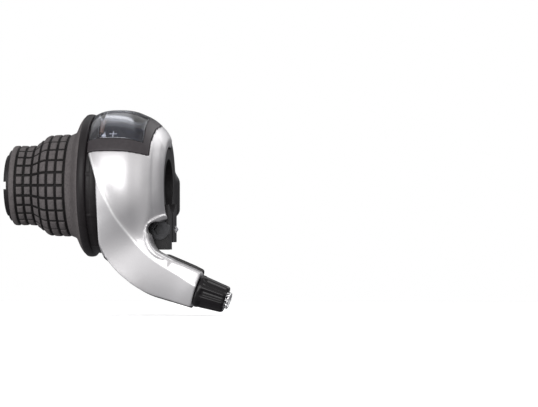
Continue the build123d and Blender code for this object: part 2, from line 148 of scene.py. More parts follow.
def smooth_curve(points, samples):
    """Catmull-Rom curve through points, as an array of samples."""
    p = np.array(points, float)
    p = np.vstack([2 * p[0] - p[1], p, 2 * p[-1] - p[-2]])
    t = np.linspace(0, len(points) - 1 - 1e-9, samples)
    i = t.astype(int)
    f = (t - i)[:, None]
    a, b, c, d = p[i], p[i + 1], p[i + 2], p[i + 3]
    return 0.5 * (2 * b + (c - a) * f + (2 * a - 5 * b + 4 * c - d) * f**2 + (3 * b - a - 3 * c + d) * f**3)


def make_object(name, verts, faces, body, material, slot, *nodes):
    """Mesh object from millimetre vertices that rides on a body and stands for CAD nodes."""
    mesh = bpy.data.meshes.new(name)
    mesh.from_pydata((np.asarray(verts, float) * MM).tolist(), [], [list(map(int, f)) for f in faces])
    mesh.validate()
    obj = bpy.data.objects.new(name, mesh)
    bpy.context.collection.objects.link(obj)
    work = bmesh.new()
    work.from_mesh(mesh)
    bmesh.ops.recalc_face_normals(work, faces=work.faces)
    work.to_mesh(mesh)
    work.free()
    for polygon in mesh.polygons:
        polygon.use_smooth = True
    mesh.materials.append(material)
    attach(obj, body)
    if nodes:
        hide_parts(*nodes)
    return obj


def bevelled(obj, width):
    """Rounds the sharp edges of an object and keeps its flats flat."""
    bevel = obj.modifiers.new("bevel", "BEVEL")
    bevel.width = width * MM
    bevel.segments = 2
    bevel.limit_method = "ANGLE"
    bevel.angle_limit = math.radians(35.0)
    bevel.use_clamp_overlap = True
    bevel.harden_normals = False
    normals = obj.modifiers.new("normals", "WEIGHTED_NORMAL")
    normals.keep_sharp = True


def point_values(obj, values):
    """Stores per-vertex values that mix a material's painted light colour in: painted shade in the rubber's
    grooves, a painted highlight along the silver's ridge.
    """
    attribute = obj.data.attributes.new("painted_shade_and_highlight", "FLOAT", "POINT")
    attribute.data.foreach_set("value", values.astype(np.float32))


def turned(loop, angles, relief):
    """Closed ring mesh about X: loop is a closed list of (x, r), and relief(x, r, angle) is the new r."""
    loop = np.array(loop, float)
    count = len(loop)
    turn = np.array(angles, float)
    x = np.repeat(loop[:, 0][None, :], len(turn), 0)
    r = relief(x, np.repeat(loop[:, 1][None, :], len(turn), 0), turn[:, None])
    verts = np.stack([x, -r * np.cos(turn[:, None]), r * np.sin(turn[:, None])], -1).reshape(-1, 3)
    i, j = np.meshgrid(np.arange(len(turn)), np.arange(count), indexing="ij")
    i2 = (i + 1) % len(turn)
    j2 = (j + 1) % count
    faces = np.stack([i * count + j, i2 * count + j, i2 * count + j2, i * count + j2], -1).reshape(-1, 4)
    return verts, faces


def patch(xs, angles, outer, inner, keep=None, warp=None):
    """Closed shell on a grid of x and angle, between two radius functions.

    keep(x, angle) drops cells, and warp(x, angle) moves the grid along x.
    """
    xs = np.array(xs, float)
    turn = np.radians(np.array(angles, float))
    nx, nt = len(xs), len(turn)
    gx, gt = np.meshgrid(xs, turn, indexing="ij")
    if warp is not None:
        gx = warp(gx, np.degrees(gt))
    layers = []
    for radius in (outer, inner):
        r = radius(gx, np.degrees(gt))
        layers.append(np.stack([gx, -r * np.cos(gt), r * np.sin(gt)], -1).reshape(-1, 3))
    verts = np.vstack(layers)
    low = nx * nt
    mid_x = (xs[:-1, None] + xs[1:, None]) / 2 + 0 * turn[None, 1:]
    mid_t = np.degrees((turn[None, :-1] + turn[None, 1:]) / 2) + 0 * xs[1:, None]
    cells = np.ones((nx - 1, nt - 1), bool) if keep is None else keep(mid_x, mid_t)
    faces = []
    for i, j in zip(*np.nonzero(cells)):
        a, b, c, d = i * nt + j, (i + 1) * nt + j, (i + 1) * nt + j + 1, i * nt + j + 1
        faces.append((a, b, c, d))
        faces.append((low + d, low + c, low + b, low + a))
        for di, dj, p, q in ((0, -1, a, b), (1, 0, b, c), (0, 1, c, d), (-1, 0, d, a)):
            ni, nj = i + di, j + dj
            inside = 0 <= ni < nx - 1 and 0 <= nj < nt - 1 and cells[ni, nj]
            if not inside:
                faces.append((q, p, low + p, low + q))
    used = sorted({v for f in faces for v in f})
    index = {v: k for k, v in enumerate(used)}
    return verts[used], [[index[v] for v in f] for f in faces]


def surface(field, low, step):
    """Surface-nets mesh of field == 0 on a regular grid, each vertex at the mean of its cell's edge
    crossings.
    """
    inside = field < 0
    shape = np.array(field.shape) - 1
    corners = [(i, j, k) for i in (0, 1) for j in (0, 1) for k in (0, 1)]

    def corner(array, c):
        return array[c[0] : c[0] + shape[0], c[1] : c[1] + shape[1], c[2] : c[2] + shape[2]]

    total = sum(corner(inside, c).astype(np.int8) for c in corners)
    active = (total > 0) & (total < 8)
    cells = np.argwhere(active)
    index = -np.ones(active.shape, np.int32)
    index[tuple(cells.T)] = np.arange(len(cells))
    values = {c: field[cells[:, 0] + c[0], cells[:, 1] + c[1], cells[:, 2] + c[2]] for c in corners}
    place = np.zeros((len(cells), 3))
    count = np.zeros(len(cells))
    for a in corners:
        for axis in range(3):
            if a[axis] == 1:
                continue
            b = tuple(1 if n == axis else a[n] for n in range(3))
            fa, fb = values[a], values[b]
            cross = (fa < 0) != (fb < 0)
            t = np.where(cross, fa / np.where(cross, fa - fb, 1), 0)
            point = np.repeat(np.array(a, float)[None, :], len(cells), 0)
            point[:, axis] += t
            place += point * cross[:, None]
            count += cross
    verts = low + (cells + place / count[:, None]) * step
    faces = []
    for axis in range(3):
        u, v = [n for n in range(3) if n != axis]
        here = [slice(1, -1)] * 3
        there = [slice(1, -1)] * 3
        here[axis] = slice(0, -1)
        there[axis] = slice(1, None)
        first = inside[tuple(here)]
        change = first != inside[tuple(there)]
        at = np.argwhere(change)
        lead = first[tuple(at.T)]
        at = at + 1
        at[:, axis] -= 1
        quad = []
        for du, dv in ((0, 0), (-1, 0), (-1, -1), (0, -1)):
            cell = at.copy()
            cell[:, u] += du
            cell[:, v] += dv
            quad.append(index[tuple(cell.T)])
        quad = np.stack(quad, -1)
        flip = lead if axis != 1 else ~lead
        quad[flip] = quad[flip][:, ::-1]
        faces.append(quad)
    faces = np.vstack(faces)
    faces = faces[(faces >= 0).all(1)]
    return verts, faces


# ---------------------------------------------------------------- distance fields of the housing


def smooth_max(a, b, k):
    """Larger of two fields, rounded over a width of k where they cross."""
    h = np.clip(0.5 + 0.5 * (a - b) / k, 0, 1)
    return b + (a - b) * h + k * h * (1 - h)


def smooth_min(a, b, k):
    return -smooth_max(-a, -b, k)


def smoothed(row, width):
    """Running average with bell-shaped weights over an odd number of samples."""
    weights = np.hanning(width + 2)[1:-1]
    padded = np.pad(row, width // 2, mode="edge")
    return np.convolve(padded, weights / weights.sum(), mode="valid")


def past_angle(y, z, degrees):
    """Distance past the half plane at an angle round the bar; positive beyond it."""
    angle = math.radians(degrees)
    return y * math.sin(angle) + z * math.cos(angle)


def neck_coordinates(x, z):
    """(distance along the neck from the start of its bend, offset towards the bend's centre)."""
    radius = np.hypot(x - BEND_X, z - BEND_Z)
    angle = np.arctan2(-(z - BEND_Z), -(x - BEND_X))
    along = BEND_R * angle
    offset = BEND_R - radius
    down = z > BEND_Z
    along = np.where(down, -(z - BEND_Z), along)
    offset = np.where(down, x - CABLE_X, offset)
    out = (x - BEND_END[0]) * NECK_DIR[0] + (z - BEND_END[2]) * NECK_DIR[2]
    rise = (x - BEND_END[0]) * NECK_UP[0] + (z - BEND_END[2]) * NECK_UP[2]
    straight = (out > 0) & (z < BEND_Z + 6)
    along = np.where(straight, BEND_LENGTH + out, along)
    offset = np.where(straight, rise, offset)
    return along, offset


PROFILE_CURVE = smooth_curve(OUTER, 200)


def outer_radius(x):
    return np.interp(x, PROFILE_CURVE[:, 0], PROFILE_CURVE[:, 1])


def bezel_right(degrees):
    """Inboard edge of the window's surround by angle round the bar."""
    return np.interp(degrees, [27, 45, 65, 76], [0.5, 0.8, 1.6, BEZEL_X[1]])


# Half widths of the neck, outside and inside of its bend, by distance along it
NECK_STATIONS = [-10.0, 0.0, 8.0, 12.5, 17.0, 21.5, 27.6, 34.0, 39.5, 43.4]
NECK_OUTSIDE = [10.4, 10.6, 10.4, 9.2, 8.2, 7.9, 7.8, 7.6, 7.45, 7.35]
NECK_INSIDE = [10.4, 10.4, 10.4, 10.2, 9.9, 9.6, 9.2, 8.7, 8.2, 7.6]

# The ridge that runs from the silver tip down the front and along the neck, as (x, z) seen from the
# front. Positions along it are counted in samples.
RIDGE = [
    (-24.5, 17.0),
    (-22.2, 8.6),
    (-19.3, 0.6),
    (-15.9, -7.0),
    (-12.4, -13.9),
    (-7.2, -21.2),
    (-1.2, -27.8),
    (5.0, -32.6),
    (13.2, -37.4),
    (20.3, -41.9),
    (30.0, -46.0),
]
RIDGE_SAMPLES = 160
RIDGE_CURVE = smooth_curve(RIDGE, RIDGE_SAMPLES)

# Facets each side of the ridge, by sample along it: how far they fall back per millimetre from it
LOWER_SLOPE = ([0, 50, 86, 104, 159], [0.60, 0.52, 0.26, 0.25, 0.24])
LOWER_BEND = ([60, 104, 122, 159], [-0.006, -0.005, 0.012, 0.025])
UPPER_SLOPE = 0.34
NECK_FROM, NECK_BLEND = 92, 26
HOLLOW_DEPTH, HOLLOW_WIDTH = 0.62, 2.2
HOLLOW_SHARE = ([8, 40, 85, 112], [0, 1, 1, 0])
SHOULDER_STEP = 0.40
SHOULDER_X = 1.3


def profile_distance(x, r):
    """Signed distance to the housing's turned profile."""
    curve = smooth_curve(OUTER, 120)
    curve = np.vstack([[curve[0][0] - 6, curve[0][1] - 3.5], curve])
    best = np.full(x.shape, 1e9, np.float32)
    for a, b in zip(curve[:-1], curve[1:]):
        run = b - a
        t = np.clip(((x - a[0]) * run[0] + (r - a[1]) * run[1]) / (run @ run), 0, 1)
        best = np.minimum(best, np.hypot(x - a[0] - t * run[0], r - a[1] - t * run[1]))
    rim = np.interp(x, curve[:, 0], curve[:, 1])
    best = np.where((r < rim) & (x < HOUSING_RIGHT), -best, best)
    return smooth_max(best, x - HOUSING_RIGHT, 1.0)


def turned_distance(x, y, z):
    """The profile's distance spun about the bar, read from a fine table."""
    step = 0.25
    xs = np.arange(-32, 30, step)
    rs = np.arange(0, 62, step)
    table = profile_distance(*np.meshgrid(xs, rs, indexing="ij")).astype(np.float32)
    i = np.clip((x - xs[0]) / step, 0, len(xs) - 1.001)
    j = np.clip(np.hypot(y, z) / step, 0, len(rs) - 1.001)
    i0, j0 = i.astype(np.int32), j.astype(np.int32)
    fi, fj = i - i0, j - j0
    low = table[i0, j0] * (1 - fi) + table[i0 + 1, j0] * fi
    high = table[i0, j0 + 1] * (1 - fi) + table[i0 + 1, j0 + 1] * fi
    return low * (1 - fj) + high * fj


def neck_distance(x, y, z, extra_outside, extra_inside, front):
    """(signed distance to the neck, distance along it); front is its reach forward of its axis."""
    along, offset = neck_coordinates(x, z)
    outside = np.interp(along, NECK_STATIONS, NECK_OUTSIDE) + extra_outside
    inside = np.interp(along, NECK_STATIONS, NECK_INSIDE) + extra_inside
    sides = np.maximum(offset - inside, -offset - outside)
    depth = np.maximum(y - NECK_Y - 7.0, NECK_Y - front - y)
    section = smooth_max(sides, depth, 3.2)
    section = smooth_max(section, -along - 14.0, 3.0)
    return smooth_max(section, along - NECK_LENGTH, 0.9), along


def ridge_coordinates(x, z):
    """(position along the ridge, signed distance from it); positive is below and to the left."""
    best = np.full(x.shape, 1e9)
    where = np.zeros(x.shape)
    side = np.zeros(x.shape)
    for n, (a, b) in enumerate(zip(RIDGE_CURVE[:-1], RIDGE_CURVE[1:])):
        run = b - a
        t = np.clip(((x - a[0]) * run[0] + (z - a[1]) * run[1]) / (run @ run), 0, 1)
        dx, dz = x - a[0] - t * run[0], z - a[1] - t * run[1]
        near = np.hypot(dx, dz)
        closer = near < best
        best = np.where(closer, near, best)
        where = np.where(closer, n + t, where)
        side = np.where(closer, np.sign(run[1] * dx - run[0] * dz), side)
    return where, best * side


def depth_along_ridge(base, axes):
    """Depth of a field's front surface at each sample of the ridge."""
    filled = base < 0
    first = filled.argmax(1)
    hit = filled.any(1)
    i, k = np.meshgrid(np.arange(base.shape[0]), np.arange(base.shape[2]), indexing="ij")
    f1 = base[i, first, k]
    f0 = base[i, np.maximum(first - 1, 0), k]
    part = np.clip(f0 / np.where(f0 - f1 == 0, 1, f0 - f1), 0, 1)
    depth = np.where(hit, axes[1][np.maximum(first - 1, 0)] + part * GRID, 0.0)
    ci = ((RIDGE_CURVE[:, 0] - FIELD_LOW[0]) / GRID).round().astype(int)
    ck = ((RIDGE_CURVE[:, 1] - FIELD_LOW[2]) / GRID).round().astype(int)
    ridge_y = depth[np.clip(ci, 0, base.shape[0] - 1), np.clip(ck, 0, base.shape[2] - 1)]
    ridge_y = np.where(ridge_y > -12, -23.0, ridge_y)
    return smoothed(ridge_y, 13)


def faceted(base, axes, y3):
    """Front surface cut to a facet each side of the ridge, with a hollow and an inboard step."""
    gx, gz = np.meshgrid(axes[0], axes[2], indexing="ij")
    where, away = ridge_coordinates(gx, gz)
    steps = np.arange(RIDGE_SAMPLES)
    ridge_depth = np.interp(where, steps, depth_along_ridge(base, axes))
    below = np.maximum(away, 0)
    above = np.maximum(-away, 0)
    on_neck = np.clip((where - NECK_FROM) / NECK_BLEND, 0, 1)
    slope = np.interp(where, steps, smoothed(np.interp(steps, *LOWER_SLOPE), 31))
    bend = np.interp(where, steps, smoothed(np.interp(steps, *LOWER_BEND), 31))
    lower_facet = ridge_depth + slope * below + bend * below**2
    upper_facet = ridge_depth - 9 * (1 - on_neck) + UPPER_SLOPE * above
    front_limit = np.where(away > 0, lower_facet, upper_facet)[:, None, :]
    solid = smooth_max(base, (front_limit - y3) * 0.88, 0.2)

    across = above / HOLLOW_WIDTH
    hollow = HOLLOW_DEPTH * across * np.exp(1 - across) * (away <= 0) * np.interp(where, *HOLLOW_SHARE)
    shoulder = SHOULDER_STEP * np.clip((gx - SHOULDER_X) / 0.9, 0, 1)
    shoulder = shoulder * np.clip((gz + 15.0) / 5.0, 0, 1) * np.clip((21.0 - gz) / 7.0, 0, 1)
    return solid + np.maximum(hollow, shoulder)[:, None, :] * (y3 < -14)


def back_shape(body, x3, y3, z3):
    """The back cover's outside: body, fuller neck, and a low rib for the fingers."""
    neck, _ = neck_distance(x3, y3, z3, 0.85, 1.2, 7.0)
    right = HOUSING_RIGHT - 1.3 * np.clip(y3 / 8.0, 0, 1)
    solid = smooth_min(smooth_max(body, x3 - right, 1.0), neck, BODY_BLEND)
    rib_z = np.clip(z3, -10.0, 1.0)
    rib = np.sqrt((x3 - 3.0) ** 2 + (y3 - 20.8) ** 2 + (z3 - rib_z) ** 2) - 4.0
    return smooth_min(solid, rib, 2.0)


def housing_fields():
    """The fields of the front and back covers on the grid."""
    axes = [np.arange(FIELD_LOW[n], FIELD_HIGH[n], GRID, dtype=np.float32) for n in range(3)]
    x, y, z = np.meshgrid(*axes, indexing="ij", sparse=True)
    x3 = x + 0 * y + 0 * z
    y3 = y + 0 * x3
    z3 = z + 0 * x3
    r = np.hypot(y3, z3)
    theta = np.degrees(np.arctan2(z3, -y3))
    body = turned_distance(x3, y3, z3)
    neck, along = neck_distance(x3, y3, z3, 0.0, 0.0, 7.4)
    front = faceted(smooth_min(body, neck, BODY_BLEND), axes, y3)

    # Raised lip round the scoop, which fades out before it meets the neck
    scoop = np.hypot(x3 - SCOOP[0], z3 - SCOOP[1])
    lip_fade = np.where(z3 < SCOOP[1], np.clip((SCOOP[0] + 1.0 - x3) / 6.0, 0, 1), 1.0)
    lip = np.maximum(np.maximum(scoop - SCOOP_R - LIP_WIDTH, SCOOP_R - scoop), front - LIP_HEIGHT * lip_fade)
    lip = np.maximum(lip, 0.3 * (LIP_LEFT - x3))
    front = smooth_min(front, np.maximum(lip, y3 - SCOOP_FLOOR_Y + 1), 0.9)

    # Cuts that both covers share
    reach = np.clip((theta - 3.0) / 22.0, 0, 1) * (theta < 60)
    left = HOUSING_LEFT - 3.7 * reach**1.25
    tool = np.hypot(x3 - BOLT[0], z3 - BOLT[1]) - TOOL_R
    lugs = [LUGS_LEFT - x3, LUGS_Y[0] - y3, y3 - LUGS_Y[1], LUGS_Z[0] - z3, z3 - LUGS_Z[1]]
    lugs = np.maximum.reduce(lugs)
    window = np.maximum.reduce([
        -past_angle(y3, z3, BEZEL_ANGLES[0]),
        past_angle(y3, z3, BEZEL_ANGLES[1]),
        x3 - bezel_right(theta),
        21.5 - r,
    ])
    out = (x3 - NECK_END[0]) * NECK_DIR[0] + (z3 - NECK_END[2]) * NECK_DIR[2]
    rise = (x3 - NECK_END[0]) * NECK_UP[0] + (z3 - NECK_END[2]) * NECK_UP[2]
    ring = np.hypot(rise, y3 - NECK_Y)
    seats = (np.maximum(ring - radius, -depth - out) for radius, depth in (KNOB_SEAT, INSERT_SEAT))
    seat = np.minimum(*seats)

    # The front cover's side of the parting line
    zone = np.maximum(past_angle(y3, z3, PARTING_TOP), -past_angle(y3, z3, PARTING_BOTTOM))
    zone = np.minimum(zone, np.maximum(y3 - NECK_PARTING_Y, z3 + 14.0))

    covers = []
    back = back_shape(body, x3, y3, z3)
    for name, shape, side, edge in (("front", front, zone, 0.35), ("back", back, -zone, 1.2)):
        cavity = np.maximum(shape + WALL, along - (NECK_LENGTH - NECK_SOLID))
        shape = smooth_max(shape, left - x3, edge)
        shape = np.maximum(shape, -cavity)
        shape = np.maximum(shape, np.where(x3 < HOUSING_LEFT + 0.3, OVER_SKIRT_R - r, -9))
        shape = smooth_max(shape, OPENING_R - r, 0.8)
        if name == "front":
            shape = smooth_max(shape, -np.maximum(scoop - SCOOP_R, y3 - SCOOP_FLOOR_Y), 0.5)
        shape = np.maximum(shape, -np.maximum(tool, y3 - SCOOP_FLOOR_Y))
        shape = np.maximum(shape, -lugs)
        shape = np.maximum(shape, -(window - 0.12))
        shape = np.maximum(shape, -np.maximum(seat, -out - 16))
        covers.append(np.maximum(shape, side + SEAM).astype(np.float32))
    return covers


# ---------------------------------------------------------------- materials


def material(name, color, rough, metallic=0.0, spread=0.12, scale=900.0, bump=0.15, grain=2600.0,
             coat=0.0, wear=None, wear_scale=180.0, wear_amount=0.3, transmission=0.0, ior=1.5,
             stretch=None, specular=0.5, painted_shade_and_highlight=None):
    """Procedural finish: mottled colour, worn patches, uneven gloss and a fine grain in relief.

    groove is painted light: the colour that the mesh's per-vertex values mix in, painted shade in the
    rubber's grooves and a painted highlight along the silver's ridge.
    """
    mat = bpy.data.materials.new(name)
    mat.use_nodes = True
    tree = mat.node_tree
    nodes = tree.nodes
    link = tree.links.new
    shader = nodes["Principled BSDF"]
    shader.inputs["Metallic"].default_value = metallic
    shader.inputs["IOR"].default_value = ior
    shader.inputs["Coat Weight"].default_value = coat
    shader.inputs["Coat Roughness"].default_value = 0.12
    shader.inputs["Transmission Weight"].default_value = transmission
    shader.inputs["Specular IOR Level"].default_value = specular
    place = nodes.new("ShaderNodeTexCoord")
    source = place.outputs["Object"]
    if stretch is not None:
        mapping = nodes.new("ShaderNodeMapping")
        mapping.inputs["Scale"].default_value = stretch
        link(source, mapping.inputs["Vector"])
        source = mapping.outputs["Vector"]

    def noise(size, detail, roughness=0.55):
        node = nodes.new("ShaderNodeTexNoise")
        node.inputs["Scale"].default_value = size
        node.inputs["Detail"].default_value = detail
        node.inputs["Roughness"].default_value = roughness
        link(source, node.inputs["Vector"])
        return node.outputs["Fac"]

    def mixed(under, over, amount):
        node = nodes.new("ShaderNodeMix")
        node.data_type = "RGBA"
        node.inputs["B"].default_value = (*over, 1)
        link(amount, node.inputs["Factor"])
        link(under, node.inputs["A"])
        return node.outputs["Result"]

    mottle = nodes.new("ShaderNodeValToRGB")
    dark = [c * (1 - spread) for c in color]
    light = [min(1.0, c * (1 + spread)) for c in color]
    mottle.color_ramp.elements[0].position = 0.3
    mottle.color_ramp.elements[0].color = (*dark, 1)
    mottle.color_ramp.elements[1].position = 0.7
    mottle.color_ramp.elements[1].color = (*light, 1)
    link(noise(scale, 4.0), mottle.inputs["Fac"])
    colour = mottle.outputs["Color"]
    if wear is not None:
        patch_mask = nodes.new("ShaderNodeValToRGB")
        patch_mask.color_ramp.elements[0].position = 0.55
        patch_mask.color_ramp.elements[1].position = 0.75
        patch_mask.color_ramp.elements[1].color = (wear_amount, wear_amount, wear_amount, 1)
        link(noise(wear_scale, 6.0, 0.65), patch_mask.inputs["Fac"])
        colour = mixed(colour, wear, patch_mask.outputs["Color"])
    # Painted light mixed into the colour: painted shade in the rubber's grooves, a painted highlight along
    # the silver's ridge.
    if painted_shade_and_highlight is not None:
        depth = nodes.new("ShaderNodeAttribute")
        depth.attribute_name = "painted_shade_and_highlight"
        colour = mixed(colour, painted_shade_and_highlight, depth.outputs["Fac"])
    link(colour, shader.inputs["Base Color"])
    gloss = nodes.new("ShaderNodeMapRange")
    gloss.inputs["To Min"].default_value = max(0.02, rough * 0.8)
    gloss.inputs["To Max"].default_value = min(1.0, rough * 1.2)
    link(noise(scale * 0.5, 5.0), gloss.inputs["Value"])
    link(gloss.outputs["Result"], shader.inputs["Roughness"])
    relief = nodes.new("ShaderNodeBump")
    relief.inputs["Strength"].default_value = bump
    relief.inputs["Distance"].default_value = 0.00006
    link(noise(grain, 3.0, 0.6), relief.inputs["Height"])
    link(relief.outputs["Normal"], shader.inputs["Normal"])
    return mat


# The silver's mix colour is white: a painted highlight laid along the ridge.
SILVER = material("silver_paint", (0.58, 0.57, 0.58), 0.38, metallic=0.8, spread=0.05, scale=5200.0,
                  bump=0.10, grain=6500.0, coat=0.08, wear=(0.50, 0.49, 0.50), wear_scale=240.0,
                  wear_amount=0.25, painted_shade_and_highlight=(1.0, 1.0, 1.0))
COVER_DARK = material("moulded_dark", (0.016, 0.015, 0.016), 0.50, spread=0.2, bump=0.35, grain=3400.0,
                      wear=(0.04, 0.038, 0.039), wear_amount=0.3, specular=0.35)
BEZEL = material("moulded_bezel", (0.030, 0.025, 0.028), 0.42, spread=0.15, bump=0.28, grain=3800.0,
                 wear=(0.06, 0.055, 0.058), wear_amount=0.3, specular=0.4)
LENS = material("clear_window", (0.80, 0.82, 0.88), 0.08, spread=0.02, scale=300.0, bump=0.004,
                grain=500.0, transmission=1.0, ior=1.4)
DIAL = material("printed_dial", (0.008, 0.009, 0.020), 0.55, spread=0.25, scale=700.0, bump=0.1,
                specular=0.1)
PRINT = material("white_print", (0.85, 0.85, 0.90), 0.5, spread=0.06, bump=0.1)
NEEDLE = material("needle_orange", (0.16, 0.085, 0.06), 0.35, spread=0.08, bump=0.1)
NYLON = material("black_nylon", (0.013, 0.012, 0.013), 0.48, spread=0.25, bump=0.4, grain=3000.0,
                 wear=(0.03, 0.028, 0.03), wear_amount=0.4, specular=0.22)
CORE = material("core_plastic", (0.011, 0.009, 0.010), 0.42, spread=0.2, bump=0.2, grain=2800.0,
                wear=(0.024, 0.022, 0.024), wear_amount=0.35, specular=0.22)
# The rubber's mix colour is near black: painted shade in the grooves between the blocks.
RUBBER = material("grip_rubber", (0.092, 0.083, 0.084), 0.62, spread=0.22, scale=1100.0, bump=0.5,
                  grain=3600.0, wear=(0.13, 0.12, 0.12), wear_scale=320.0, wear_amount=0.5,
                  specular=0.2, painted_shade_and_highlight=(0.006, 0.0053, 0.0055))
KNOB = material("knob_gloss", (0.004, 0.003, 0.004), 0.15, spread=0.2, bump=0.06, grain=1800.0,
                wear=(0.012, 0.011, 0.012), wear_amount=0.3, specular=0.25)
BRIGHT = material("bright_turned", (0.72, 0.72, 0.73), 0.24, metallic=1.0, spread=0.08, bump=0.2,
                  grain=2400.0, stretch=(1.0, 4.0, 4.0))
STEEL = material("plated_steel", (0.50, 0.50, 0.52), 0.30, metallic=1.0, spread=0.1, bump=0.2,
                 stretch=(1.0, 5.0, 5.0))
BLACK_STEEL = material("black_oxide", (0.020, 0.020, 0.022), 0.36, metallic=0.7, spread=0.25, bump=0.25,
                       wear=(0.10, 0.10, 0.11), wear_amount=0.4)
SPRING = material("spring_steel", (0.34, 0.34, 0.37), 0.28, metallic=1.0, spread=0.1, bump=0.15,
                  stretch=(6.0, 1.0, 1.0))
ACETAL = material("acetal", (0.55, 0.54, 0.50), 0.45, spread=0.06, bump=0.2)
BRASS = material("brass", (0.72, 0.50, 0.20), 0.28, metallic=1.0, spread=0.1, bump=0.2)
LINER = material("liner", (0.68, 0.68, 0.64), 0.4, spread=0.05, bump=0.1)


# ---------------------------------------------------------------- pieces of the housing


def build_covers():
    fields = housing_fields()
    for name, field, node, mat, slot in (
        ("housing_front", fields[0], "front_cover", SILVER, "silver_cover"),
        ("housing_back", fields[1], "back_cover", COVER_DARK, "dark_cover"),
    ):
        verts, faces = surface(field, np.array(FIELD_LOW), GRID)
        obj = make_object(name, verts, faces, ROOT, mat, slot, node)
        smooth = obj.modifiers.new("relax", "SMOOTH")
        smooth.factor = 0.35
        smooth.iterations = 2
        if name == "housing_front":
            # Painted highlight: a thin white line along the ridge, mixed into the silver's colour.
            _, away = ridge_coordinates(verts[:, 0], verts[:, 2])
            point_values(obj, np.exp(-((away / 0.42) ** 2)) * (verts[:, 1] < -15))


def spaced(*stops, step=0.6):
    """Samples through the stops, about a step apart, with the stops kept."""
    out = [stops[0]]
    for a, b in zip(stops[:-1], stops[1:]):
        count = max(1, int(round(abs(b - a) / step)))
        out.extend(a + (b - a) * (n + 1) / count for n in range(count))
    return out


def build_bezel():
    edge = LENS_X[1] + 0.1

    def under(x, angle):
        low = np.where(x < BEZEL_STEP_X, OVER_SKIRT_R, DIAL_R + 0.1)
        return np.where(x > -2.4, np.interp(x, [-2.4, BEZEL_X[1]], [25.5, 22.6]), low)

    def around_lens(x, angle):
        inside_x = x < LENS_X[1] + 0.05
        inside_t = (angle > LENS_ANGLES[0] - 0.1) & (angle < LENS_ANGLES[1] + 0.1)
        return ~(inside_x & inside_t)

    def inboard(x, angle):
        share = np.clip((x - edge) / (BEZEL_X[1] - edge), 0, 1)
        return np.where(x > edge, edge + share * (bezel_right(angle) - edge), x)

    xs = spaced(BEZEL_X[0], BEZEL_STEP_X, -2.6, edge, BEZEL_X[1])
    lens_from, lens_to = LENS_ANGLES[0] - 0.15, LENS_ANGLES[1] + 0.15
    angles = spaced(BEZEL_ANGLES[0], lens_from, lens_to, BEZEL_ANGLES[1], step=1.6)
    verts, faces = patch(xs, angles, lambda x, t: outer_radius(x) + 0.05, under, around_lens, inboard)
    bevelled(make_object("window_bezel", verts, faces, ROOT, BEZEL, "bezel_grey", "indicator_bezel"), 0.35)


def build_lens():
    def under(x, angle):
        return np.interp(x, *LENS_UNDER)

    xs = spaced(*LENS_X, step=0.7)
    angles = spaced(*LENS_ANGLES, step=1.6)
    verts, faces = patch(xs, angles, lambda x, t: outer_radius(x) + 0.12, under)
    bevelled(make_object("window_lens", verts, faces, ROOT, LENS, "clear_lens", "indicator_lens"), 0.2)


def build_dial():
    def beside_slot(x, angle):
        return ~((x > SLOT_X[0]) & (x < SLOT_X[1]) & (abs(angle - SLOT_ANGLE) < SLOT_HALF))

    def level(radius):
        return lambda x, t: radius + 0 * x

    xs = spaced(DIAL_X[0], SLOT_X[1], DIAL_X[1])
    slot_from, slot_to = SLOT_ANGLE - SLOT_HALF, SLOT_ANGLE + SLOT_HALF
    angles = spaced(DIAL_ANGLES[0], slot_from, slot_to, DIAL_ANGLES[1], step=2.0)
    verts, faces = patch(xs, angles, level(DIAL_R), level(DIAL_R - DIAL_THICKNESS), beside_slot)
    make_object("dial_plate", verts, faces, ROOT, DIAL, "dial_print", "indicator_dial")


def build_dial_marks():
    """A plus sign and a plain arrow, raised on the dial; outlines are corner lists of (x, degrees)."""
    plus_x, plus_a = -15.2, 50.0
    arm_x, arm_a = 1.5, 3.2
    bar = 0.35

    def rectangle(x0, x1, a0, a1):
        return [(x0, a0), (x1, a0), (x1, a1), (x0, a1)]

    thin = (plus_x - bar * 0.5, plus_x + bar * 0.5)
    outlines = [
        rectangle(plus_x - arm_x, plus_x + arm_x, plus_a - bar, plus_a + bar),
        rectangle(*thin, plus_a + arm_a, plus_a + bar + 0.02),
        rectangle(*thin, plus_a - bar - 0.02, plus_a - arm_a),
        [(-19.6, plus_a - arm_a), (-17.9, plus_a - arm_a), (-18.6, plus_a + 3.4)],
    ]
    verts, faces = [], []
    for outline in outlines:
        start = len(verts)
        for r in (DIAL_R + 0.12, DIAL_R - 0.05):
            for x, angle in outline:
                a = math.radians(angle)
                verts.append((x, -r * math.cos(a), r * math.sin(a)))
        n = len(outline)
        faces.append([start + k for k in range(n)])
        faces.append([start + n + k for k in reversed(range(n))])
        for k in range(n):
            m = (k + 1) % n
            faces.append([start + m, start + k, start + n + k, start + n + m])
    make_object("dial_marks", verts, faces, ROOT, PRINT, "dial_print")


# ---------------------------------------------------------------- the twisting grip

GRIP_OUTER = [
    (-60.4, 15.6),
    (-60.35, 16.2),
    (-59.9, 16.7),
    (-59.0, 16.85),
    (-57.5, 16.85),
    (-51.9, 16.85),
    (-49.2, 17.9),
    (-47.3, 19.5),
    (-45.1, 20.9),
    (-43.0, 21.3),
    (-36.0, 21.6),
    (-34.4, 21.9),
    (-32.9, 22.9),
    (-31.8, 24.9),
    (-30.6, 27.4),
    (-29.6, 28.9),
    (-28.98, 29.3),
]
GRIP_INNER = [
    (-28.98, 28.7),
    (-30.5, 24.9),
    (-32.05, 19.7),
    (-34.5, 18.35),
    (-47.0, 18.1),
    (-51.1, 14.75),
    (-59.4, 14.75),
    (-59.5, 15.45),
]

# Grooves between the rubber's blocks: the middles of those round the grip, and how many run along it
COLUMNS = (-57.5, -54.0, -50.5, -47.1, -43.4, -39.6, -36.0)
ROWS = 24
GROOVE = 0.85
GROOVE_DEPTH = 0.9


def in_groove(distance):
    """0 on a block's face, 1 in the cut between blocks, with a rounded shoulder, by distance from its
    middle.
    """
    return np.clip((GROOVE / 2 + 0.22 - np.abs(distance)) / 0.30, 0, 1) ** 0.8


